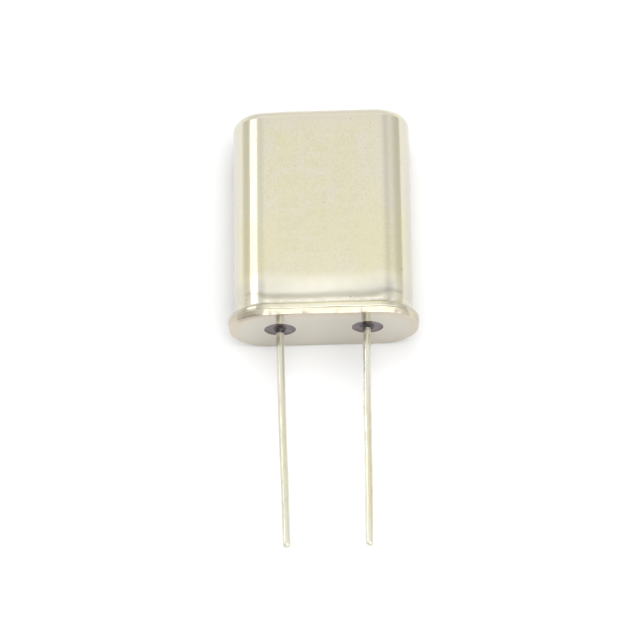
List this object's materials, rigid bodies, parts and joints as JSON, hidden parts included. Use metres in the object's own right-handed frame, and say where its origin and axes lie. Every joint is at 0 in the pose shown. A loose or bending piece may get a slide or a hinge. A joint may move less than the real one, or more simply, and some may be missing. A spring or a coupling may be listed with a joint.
{
  "type": "crystal oscillator",
  "caption": "Quartz crystal in a flat obround metal can with a flared lip, welded to a base with glass seals and long wire leads.",
  "frame": {"origin": "centre of the base's flat seating face, midway between the two leads", "axes": "+Y from the seating face up into the can, so the leads run along -Y; X across the wide side, from the left lead to the right lead; +Z out of the upper broad face. The part lies on its other broad face"},
  "size_m": [0.0106, 0.026, 0.0044],
  "materials": {
    "can_nickel": "satin, warm nickel plating on drawn metal",
    "base_nickel": "satin, nickel-plated sealing alloy",
    "seal_glass": "dark opaque sealing glass, glossy",
    "lead_tinned": "tinned wire, satin",
    "spring_nickel": "thin nickel spring strip",
    "quartz": "lapped quartz, frosted clear",
    "electrode_silver": "evaporated silver film",
    "silver_epoxy": "silver-filled adhesive, slightly grainy"
  },
  "bodies": {
    "root": {"can": "can_nickel", "base_plate": "base_nickel", "glass_seal_left": "seal_glass", "glass_seal_right": "seal_glass", "lead_left": "lead_tinned", "lead_right": "lead_tinned", "support_spring_left": "spring_nickel", "support_spring_right": "spring_nickel", "quartz_blank": "quartz", "electrode_front": "electrode_silver", "electrode_back": "electrode_silver", "adhesive_left": "silver_epoxy", "adhesive_right": "silver_epoxy"}
  },
  "joints": []
}
